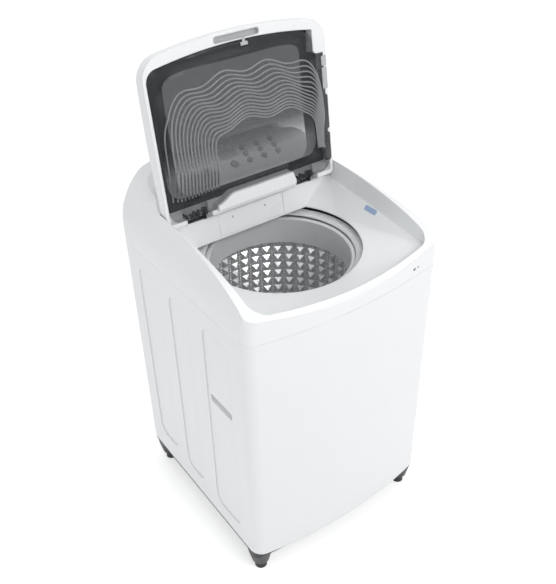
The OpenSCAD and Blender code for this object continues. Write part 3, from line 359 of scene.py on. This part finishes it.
def in_notch(x, s, grow=0.0):
    """The corner of the tray that is cut off for the lid."""
    dx, ds = x - (NOTCH_X - grow), s - (NOTCH_S - grow)
    if dx < 0 or ds < 0:
        return False
    return dx > NOTCH_R or ds > NOTCH_R or math.hypot(dx - NOTCH_R, ds - NOTCH_R) < NOTCH_R


def past_shoulder(x, s):
    """Outside the rounded corner of the tray beside that notch."""
    dx, ds = x - (NOTCH_X - SHOULDER_R), s - (SHOULDER_S - SHOULDER_R)
    return dx > 0 and ds > 0 and math.hypot(dx, ds) > SHOULDER_R


STEP_LOW = 24
STEP_HIGH = 45


def in_step(x, s, grow=1.0):
    """The raised border of the lid between its hinges."""
    if s >= STEP_HIGH + grow:
        return False
    start, end = (-118 - grow, -60 - grow) if x < 0 else (133 + grow, 124 + grow)
    k = min(max((x - start) / (end - start), 0), 1)
    rise = (1 - math.cos(math.pi * k)) / 2
    return k > 0 and s < STEP_LOW + (STEP_HIGH - STEP_LOW + grow) * rise


RAYS = 720
MID = 230
ANGLES = [2 * math.pi * i / RAYS for i in range(RAYS)]


def reach(inside, angle):
    """How far an outline reaches from the tray's middle at an angle."""
    low, high = 0.0, 420.0
    c, n = math.cos(angle), math.sin(angle)
    for _ in range(26):
        r = (low + high) / 2
        if inside(r * c, MID + r * n):
            low = r
        else:
            high = r
    return low


def reaches(outline, holes, spread=0):
    """An outline's reach along every ray, without its holes and with softened corners."""
    def inside(x, s):
        return outline(x, s) and not any(hole(x, s) for hole in holes)

    found = [reach(inside, a) for a in ANGLES]
    return [sum(found[(i + k) % RAYS] for k in range(-spread, spread + 1)) / (2 * spread + 1)
            for i in range(RAYS)]


FLANGE = reaches(rounded(257, 14, 420, 33, 30), [in_notch, in_step, past_shoulder])
BELLY = reaches(rounded(244, 58, 406, 84, 24), [lambda x, s: in_notch(x, s, 7)], spread=3)
FLOOR = reaches(rounded(229, 98, 392, 56, 16), [lambda x, s: in_notch(x, s, 24)], spread=5)


def floor_v(s):
    """Height of the tray's floor, which is deepest at the hinge edge."""
    return 42 - (s - 14) * 26 / 406


CREASE = 0.16


def eased(t):
    """A slope from 0 to 1 with a rounded crease at each end."""
    if t < CREASE:
        return t * t / (2 * CREASE) + t / 2
    if t > 1 - CREASE:
        left = 1 - t
        return 1 - (left * left / (2 * CREASE) + left / 2)
    return t


def tray_surface(x, s):
    """Height of the tray's outer face over the lid's inner plane."""
    r = math.hypot(x, s - MID)
    turn = (math.atan2(s - MID, x) % (2 * math.pi)) / (2 * math.pi) * RAYS
    i, k = int(turn) % RAYS, turn - int(turn)
    top = BELLY[i] * (1 - k) + BELLY[(i + 1) % RAYS] * k
    low = FLOOR[i] * (1 - k) + FLOOR[(i + 1) % RAYS] * k
    if r >= top:
        return 0.0
    return floor_v(s) * eased(1.0 if r <= low else (top - r) / (top - low))


FLANGE_RINGS = ((-3.0, -0.6), (-2.2, 0), (-0.8, 0), (0.0, -0.8))
WALL_STEPS = 22
FLOOR_SHARES = (0.8, 0.55, 0.3, 0.12)
TRAY_WALL = 2.2
TRAY_SKIN = 3.0
TRAY_FLOOR = 2.6


def make_tray():
    """The smoked wash tray: flange, rounded walls and a floor that slopes to the free end."""
    verts = []

    def at(i, r, height):
        """A point along ray i, at a height or at one that depends on its place."""
        x, s = r * math.cos(ANGLES[i]), MID + r * math.sin(ANGLES[i])
        return on_lid(x, s, height(x, s) if callable(height) else height)

    def ring(radii, height):
        """One closed row of points; gives the place of its first."""
        start = len(verts)
        verts.extend(at(i, radii[i], height) for i in range(RAYS))
        return start

    def skin(wall, drop, floor_drop):
        """Rings down the walls and in over the floor, and the point in its middle."""
        rings = []
        top = [min(BELLY[i] + 2.5, FLANGE[i] - 2) for i in range(RAYS)]
        low = [r - 2.5 for r in FLOOR]
        for k in range(WALL_STEPS + 1):
            w = k / WALL_STEPS
            start = len(verts)
            for i in range(RAYS):
                r = top[i] + (low[i] - top[i]) * w
                x, s = r * math.cos(ANGLES[i]), MID + r * math.sin(ANGLES[i])
                verts.append(at(i, r - wall, tray_surface(x, s) - drop))
            rings.append(start)
        for share in FLOOR_SHARES:
            rings.append(ring([r * share for r in FLOOR], lambda x, s: floor_v(s) - floor_drop))
        verts.append(on_lid(0, MID, floor_v(MID) - floor_drop))
        return rings, len(verts) - 1

    outer = [ring([r + inset for r in FLANGE], v) for v, inset in FLANGE_RINGS]
    rings, middle = skin(0, 0, 0)
    outer += rings
    inner = [ring([r - 1.2 for r in FLANGE], -TRAY_SKIN)]
    rings, middle_in = skin(TRAY_WALL, TRAY_SKIN, TRAY_FLOOR)
    inner += rings
    faces = band(outer[0], inner[0], RAYS)
    for row, point in ((outer, middle), (inner, middle_in)):
        for a, b in zip(row, row[1:]):
            faces += band(a, b, RAYS)
        faces += [(row[-1] + i, row[-1] + (i + 1) % RAYS, point) for i in range(RAYS)]
    tray = mesh_piece("wash_tray", verts, faces, "smoked_plastic", "tray", angle=50)
    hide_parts("sink_tray")


def sweep(paths, section):
    """Ridges that lie on the tray's face along (x, s) paths."""
    verts, faces = [], []
    m = len(section)
    step = 1.5
    for path in paths:
        n = len(path)
        base = len(verts)
        for k, (x, s) in enumerate(path):
            xa, sa = path[max(k - 1, 0)]
            xb, sb = path[min(k + 1, n - 1)]
            along = Vector((xb - xa, sb - sa, tray_surface(xb, sb) - tray_surface(xa, sa)))
            slope_x = (tray_surface(x + step, s) - tray_surface(x - step, s)) / (2 * step)
            slope_s = (tray_surface(x, s + step) - tray_surface(x, s - step)) / (2 * step)
            normal = Vector((-slope_x, -slope_s, 1)).normalized()
            side = along.normalized().cross(normal).normalized()
            here = Vector((x, s, tray_surface(x, s)))
            verts.extend(on_lid(*(here + side * a + normal * b)) for a, b in section)
        for k in range(n - 1):
            faces += band(base + k * m, base + (k + 1) * m, m)
        faces += [cap(base, m), cap(base + (n - 1) * m, m)]
    return verts, faces


RIBS = 14
RIB_POINTS = 150
RIB_CORNER = 7
WAVE = 128
SWELL = 7.5


def wave_path(k):
    """Rib k: up the left side, in waves across, and down the right side."""
    left = -241 + 9.4 * k
    right = 226 - 0.8 * k - 0.12 * k * k
    top = 358 - 12.3 * k + 0.2 * k * k
    crest = -63 + 8 * min(k, 6.5)
    path = []
    for i in range(RIB_POINTS + 1):
        q = math.sin(math.pi * (i / RIB_POINTS - 0.5))
        x = (left + right) / 2 + q * (right - left) / 2
        up = max(1 - abs(q) ** RIB_CORNER, 0) ** (1 / RIB_CORNER)
        foot = 72 + 22 * (q + 1) / 2 + 0.6 * k
        s = top - 25 * (x / 210) ** 2 + SWELL * math.cos(2 * math.pi * (x - crest) / WAVE)
        path.append((x, foot + (s - foot) * up))
    return path


def make_ribs():
    """The wavy ribs of the tray, in a lighter grey that is a painted highlight."""
    half_wide, high, sunk = 2.2, 2.3, 0.3
    arch = [(half_wide * math.cos(math.pi * i / 8), high * math.sin(math.pi * i / 8) - sunk)
            for i in range(8, -1, -1)]
    verts, faces = sweep([wave_path(k) for k in range(RIBS)], arch)
    # The ribs' lighter grey is a painted highlight on the tray's smoked plastic.
    ribs = mesh_piece("tray_waves", verts, faces, "rib_plastic", "tray", angle=60)
    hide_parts("tray_ribs")


def make_knuckles():
    """Six hinge knuckles of the tray, each with an arm to its flange."""
    profile = arc(HINGE_S, HINGE_V, 7, 0, -270, 18)
    profile += [(10, -0.6), (30, -0.6), (30, -7), (17, -7)]
    verts, faces = [], []
    m = len(profile)
    for side in (-1, 1):
        for x in (153, 175, 189):
            base = len(verts)
            for dx in (-3.5, 3.5):
                verts.extend(on_lid(side * x + dx, s, v) for s, v in profile)
            faces += [cap(base, m), cap(base + m, m)] + band(base, base + m, m)
    knuckles = mesh_piece("tray_knuckles", verts, faces, "black_plastic", "tray", smooth=False)
    soft = knuckles.modifiers.new("soft", "BEVEL")
    soft.width = 0.0006
    soft.segments = 2


GRIP_X = 252


def make_grips():
    """Finger grips that lap over the lid's rim beside the tray."""
    verts, faces = [], []
    for low, high in ((42, 123), (131, 228)):
        long = high - low
        rows = []
        for w, h, r, v in ((22, long, 7, 0.35), (22, long, 7, 1.6),
                           (20.8, long - 1.2, 6.4, 2.3), (18.5, long - 3.5, 5.3, 2.6)):
            line = pill(GRIP_X, (low + high) / 2, w, h, r)
            rows.append(len(verts))
            verts.extend(on_lid(x, s, v) for x, s in line)
        for a, b in zip(rows, rows[1:]):
            faces += band(a, b, len(line))
        faces += [cap(rows[0], len(line)), cap(rows[-1], len(line))]
    mesh_piece("tray_grips", verts, faces, "gloss_black", "tray", angle=60)


PANE_MID_S = 226
PANE_SPHERE = 1800
PANE_TOP = 1761.76
PRINT_DEPTHS = (5.1, 5.4)
PRINT_STEPS = 4


def pane_v(s, depth):
    """Height of the lid's dome under its skin, at a depth."""
    return PANE_TOP - math.sqrt((PANE_SPHERE - depth) ** 2 - (s - PANE_MID_S) ** 2)


def make_border():
    """Opaque black print round the window of the pane, as a thin film on its inner face."""
    edge = reaches(rounded(255.5, 36.5, 420.5, 32, 6),
                   [in_notch, lambda x, s: in_step(x, s, 2), past_shoulder])
    window = reaches(rounded(236, 62, 384, 84, 40), [])
    verts = []
    for depth in PRINT_DEPTHS:
        for k in range(PRINT_STEPS + 1):
            for i, a in enumerate(ANGLES):
                r = window[i] + (edge[i] - window[i]) * k / PRINT_STEPS
                x, s = r * math.cos(a), MID + r * math.sin(a)
                verts.append(on_lid(x, s, pane_v(s, depth)))
    front = [k * RAYS for k in range(PRINT_STEPS + 1)]
    back = [a + (PRINT_STEPS + 1) * RAYS for a in front]
    faces = band(front[0], back[0], RAYS) + band(front[-1], back[-1], RAYS)
    for rows in (front, back):
        for a, b in zip(rows, rows[1:]):
            faces += band(a, b, RAYS)
    mesh_piece("pane_border", verts, faces, "border_print", "lid")


# ------------------------------------------------------------------- drum
COLUMNS = 42
DRUM_R = 232.0
DRUM_TOP = 757.0
DRUM_LOW = 331.0
COLLAR_TOP = 778.0
HOLE_STRIP = 10.0 / DRUM_R
TILE = 9.5
TILES = int((DRUM_TOP - DRUM_LOW) / TILE)
ROW_TILES = 3
HOLE_R = 2.3
RIM_W = 1.5
PYRAMID = 9.0
PYRAMID_INSET = 1.2
SHEET = 1.2


def octagon(turn, z, r, put):
    """Eight points round a place on the drum's wall."""
    corners = [math.pi * (q + 0.5) / 4 for q in range(8)]
    return [put(turn + r * math.cos(a) / DRUM_R, z + r * math.sin(a)) for a in corners]


def hole_rims(turns, heights):
    """Rolled edges of the holes, as narrow rings that catch the light; their near-white finish,
    lighter than the basket's stainless, is partly a painted highlight.
    """
    verts, faces = [], []
    lanes = ((HOLE_R + RIM_W / 2, 0.1), (HOLE_R, RIM_W * 0.75), (HOLE_R - RIM_W / 2, 0.1))
    for turn in turns:
        for z in heights:
            start = len(verts)
            for r, raised in lanes:
                inner = DRUM_R - raised
                verts += octagon(turn, z, r,
                                 lambda a, h: (inner * math.cos(a), inner * math.sin(a), h))
            for q in range(8):
                n = (q + 1) % 8
                faces += [(lane + q, lane + 8 + q, lane + 8 + n, lane + n)
                          for lane in (start, start + 8)]
    return verts, faces


def make_drum():
    """Basket wall: perforated strips between columns of pyramids pressed inward."""
    verts, faces = [], []
    index = {}
    pitch = 2 * math.pi / COLUMNS
    rows = TILES // ROW_TILES
    last = DRUM_TOP - TILES * TILE

    def point(turn, z, r=DRUM_R):
        """The place of a point in the mesh, which is kept once."""
        key = (round(turn, 5), round(z, 3))
        if key not in index:
            index[key] = len(verts)
            verts.append((r * math.cos(turn), r * math.sin(turn), z))
        return index[key]

    def field(left, right, high, low):
        """A plain field between two turns and two heights."""
        faces.append((point(left, high), point(right, high), point(right, low),
                      point(left, low)))

    def hole(left, right, high):
        """A square tile with an octagonal hole."""
        low = high - TILE
        rim = octagon((left + right) / 2, (high + low) / 2, HOLE_R, point)
        corners = [point(right, high), point(left, high), point(left, low), point(right, low)]
        for c, corner in enumerate(corners):
            following = corners[(c + 1) % 4]
            faces.append((corner, following, rim[(2 * c + 2) % 8], rim[2 * c + 1]))
            faces.append((corner, rim[2 * c + 1], rim[2 * c]))

    def pyramid(left, right, high):
        """A pyramid on a flat margin, as high as a few tiles."""
        heights = [high - TILE * i for i in range(ROW_TILES + 1)]
        low = heights[-1]
        one = [point(left, z) for z in heights]
        two = [point(right, z) for z in heights]
        margin = PYRAMID_INSET / DRUM_R
        far = right or 2 * math.pi
        base = [point(left + margin, high - PYRAMID_INSET),
                point(far - margin, high - PYRAMID_INSET),
                point(far - margin, low + PYRAMID_INSET),
                point(left + margin, low + PYRAMID_INSET)]
        apex = point((left + far) / 2, (high + low) / 2, DRUM_R - PYRAMID)
        faces.append((one[0], two[0], base[1], base[0]))
        faces.append(tuple(two) + (base[2], base[1]))
        faces.append((two[-1], one[-1], base[3], base[2]))
        faces.append(tuple(one[::-1]) + (base[0], base[3]))
        faces.extend((base[p], base[(p + 1) % 4], apex) for p in range(4))

    for c in range(COLUMNS):
        start = c * pitch
        edge = start + HOLE_STRIP
        end = (c + 1) % COLUMNS * pitch
        for t in range(TILES):
            hole(start, edge, DRUM_TOP - t * TILE)
        for t in range(rows):
            pyramid(edge, end, DRUM_TOP - t * ROW_TILES * TILE)
        for t in range(rows * ROW_TILES, TILES):
            field(edge, end, DRUM_TOP - t * TILE, DRUM_TOP - (t + 1) * TILE)
        for left, right in ((start, edge), (edge, end)):
            field(left, right, last, DRUM_LOW)
            field(left, right, COLLAR_TOP, DRUM_TOP)
    drum = mesh_piece("drum_wall", verts, faces, "stainless", "drum", smooth=False)
    sheet = drum.modifiers.new("sheet", "SOLIDIFY")
    sheet.thickness = SHEET / 1000
    sheet.offset = 1.0
    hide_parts("basket")
    verts, faces = hole_rims([c * pitch + HOLE_STRIP / 2 for c in range(COLUMNS)],
                             [DRUM_TOP - (t + 0.5) * TILE for t in range(TILES)])
    mesh_piece("hole_rims", verts, faces, "bright_rim", "drum")


# ------------------------------------------------------- icons and plates
def prisms(name, outlines, origin, axes, look, body, thick=0.25, hole_share=None):
    """Thin raised shapes on a flat face; a share gives each a hole of its own outline."""
    origin = Vector(origin)
    across, along, out = (Vector(axis) for axis in axes)
    verts, faces = [], []
    sunk = -0.3
    for n, line in enumerate(outlines):
        m = len(line)
        rows = []
        lines = [line]
        if hole_share:
            x, y = sum(p[0] for p in line) / m, sum(p[1] for p in line) / m
            k = hole_share[n]
            lines.append([(x + (p[0] - x) * k, y + (p[1] - y) * k) for p in line])
        for edge in lines:
            for h in (sunk, thick):
                rows.append(len(verts))
                verts.extend(tuple(origin + across * p[0] + along * p[1] + out * h)
                             for p in edge)
            faces += band(rows[-2], rows[-1], m)
        if hole_share:
            faces += band(rows[0], rows[2], m) + band(rows[1], rows[3], m)
        else:
            faces += [cap(rows[0], m), cap(rows[1], m)]
    mesh_piece(name, verts, faces, look, body, smooth=False)


DRAWER_LEAN = 0.18145
DRAWER_ICON_Z = 924
ICON_SPREAD = 45


def make_drawer_icons():
    """A drop and a flower on the drawer's leaning front."""
    along = Vector((0, DRAWER_LEAN, 1)).normalized()
    out = (0, -along.z, along.y)
    petals = [circle(ICON_SPREAD + 2.3 * math.cos(a), 2.3 * math.sin(a), 1.0, 12)
              for a in (0.3, 1.56, 2.81, 4.07, 5.33)]
    flower = petals + [circle(ICON_SPREAD, 0, 1.0, 12)]
    prisms("drawer_icons", [drop(-61, 0, 2.1)] + flower,
           (0, 125.5 + DRAWER_LEAN * (DRAWER_ICON_Z - 877), DRAWER_ICON_Z),
           ((1, 0, 0), along, out), "print_grey", "drawer")


FRONT_BOW_Y = 1027.93
LIP_ICON_Z = 880


def make_lip_icons():
    """Two plain marks on the bowed front lip, near its right end."""
    block = [pill(0, 0, 9, 7, 1.5)]
    bars = [pill(0, y, 7, 1.6, 0.7) for y in (2, -1.2)]
    for name, x, shape in (("lip_icon_1", 199.0, block), ("lip_icon_2", 214.0, bars)):
        y = FRONT_BOW_Y - math.sqrt(BOW ** 2 - x * x)
        out = Vector((x, y - FRONT_BOW_Y, 0)).normalized()
        prisms(name, shape, (x, y, LIP_ICON_Z), ((-out.y, out.x, 0), (0, 0, 1), out),
               "print_grey", "cabinet")


CONSOLE_SLOPE = math.radians(30.7)
KEY_R = 8.5
START_R = 12
RING_GAP = 0.7
RING_EDGE = 2.4


def make_button_rings():
    """Printed rings round the console's buttons."""
    c, n = math.cos(CONSOLE_SLOPE), math.sin(CONSOLE_SLOPE)
    up, out = (0, c, n), (0, -n, c)
    places = [(x, e, KEY_R) for x in (48, 96, 143) for e in (104, 82, 60)]
    places += [(-86, 70, KEY_R), (0, 62, START_R)]
    prisms("button_rings", [circle(x, e, r + RING_EDGE, 40) for x, e, r in places],
           (0, 153 + 2 * out[1], 1002 + 2 * out[2]), ((1, 0, 0), up, out), "ring_print",
           "cabinet",
           hole_share=[(r + RING_GAP) / (r + RING_EDGE) for _, _, r in places])


def make_badge():
    """A bare blue plate on the basin's right wall."""
    out = Vector((-0.79, -0.06, 0.61)).normalized()
    along = Vector((0, -1, 0))
    along = (along - out * along.dot(out)).normalized()
    prisms("bare_badge", [pill(0, 0, 44, 15, 5)], (258.6, -64.5, 922.0),
           (along, out.cross(along).normalized(), out), "badge_blue",
           "cabinet", thick=0.3)


make_tray()
make_ribs()
make_drum()
make_border()
make_drawer_icons()
make_lip_icons()
make_button_rings()
make_badge()
make_knuckles()
make_grips()


# ------------------------------------------------------- floor and lights
def seen_rays(nt):
    """1 for rays that show the background: camera, glossy and transmission rays."""
    path = nt.nodes.new("ShaderNodeLightPath")
    seen = path.outputs["Is Camera Ray"]
    for kind in ("Is Glossy Ray", "Is Transmission Ray"):
        both = nt.nodes.new("ShaderNodeMath")
        both.operation = "MAXIMUM"
        nt.links.new(seen, both.inputs[0])
        nt.links.new(path.outputs[kind], both.inputs[1])
        seen = both.outputs[0]
    return seen


def make_floor():
    """A pale floor that also glows a little where it is seen."""
    bpy.ops.mesh.primitive_plane_add(size=24, location=(0, 0, 0))
    floor = bpy.context.object
    floor.name = "floor"
    mat, nt, bsdf = material("pale_floor")
    bsdf.inputs["Roughness"].default_value = 0.9
    bsdf.inputs["Base Color"].default_value = (0.9, 0.9, 0.9, 1)
    bsdf.inputs["Specular IOR Level"].default_value = 0.0
    bsdf.inputs["Emission Color"].default_value = (1, 1, 1, 1)
    glow = node(nt, "ShaderNodeMath", i1=0.5)
    glow.operation = "MULTIPLY"
    nt.links.new(seen_rays(nt), glow.inputs[0])
    nt.links.new(glow.outputs[0], bsdf.inputs["Emission Strength"])
    floor.data.materials.append(mat)


def make_world():
    """White where it is seen, and a dimmer, slightly cool light on the object."""
    world = bpy.data.worlds.new("studio")
    scene.world = world
    world.use_nodes = True
    nt = world.node_tree
    nt.nodes.clear()
    out = nt.nodes.new("ShaderNodeOutputWorld")
    seen = node(nt, "ShaderNodeBackground", Color=(1, 1, 1, 1), Strength=1.0)
    unseen = node(nt, "ShaderNodeBackground", Color=(0.97, 0.985, 1, 1), Strength=0.55)
    mix = nt.nodes.new("ShaderNodeMixShader")
    nt.links.new(seen_rays(nt), mix.inputs[0])
    nt.links.new(unseen.outputs[0], mix.inputs[1])
    nt.links.new(seen.outputs[0], mix.inputs[2])
    nt.links.new(mix.outputs[0], out.inputs[0])


def area(name, at, to, size, watts):
    """A soft rectangular light that looks from one place to another."""
    data = bpy.data.lights.new(name, "AREA")
    data.shape = "RECTANGLE"
    data.size, data.size_y = size
    data.energy = watts
    lamp = bpy.data.objects.new(name, data)
    scene.collection.objects.link(lamp)
    lamp.location = at
    lamp.rotation_euler = (Vector(to) - Vector(at)).to_track_quat("-Z", "Y").to_euler()


make_floor()
make_world()
area("key", (1.6, -2.6, 3.4), (0, 0, 0.7), (2.2, 2.2), 26)
area("side", (-3.2, -0.4, 1.6), (0, 0, 0.6), (1.6, 2.4), 14)
area("top", (0.2, 0.3, 4.2), (0, 0, 0.8), (2.4, 2.4), 18)
area("drum", (0.15, -2.2, 2.7), (0.05, 0.15, 0.65), (2.2, 0.6), 26)
scene.view_settings.view_transform = "Standard"
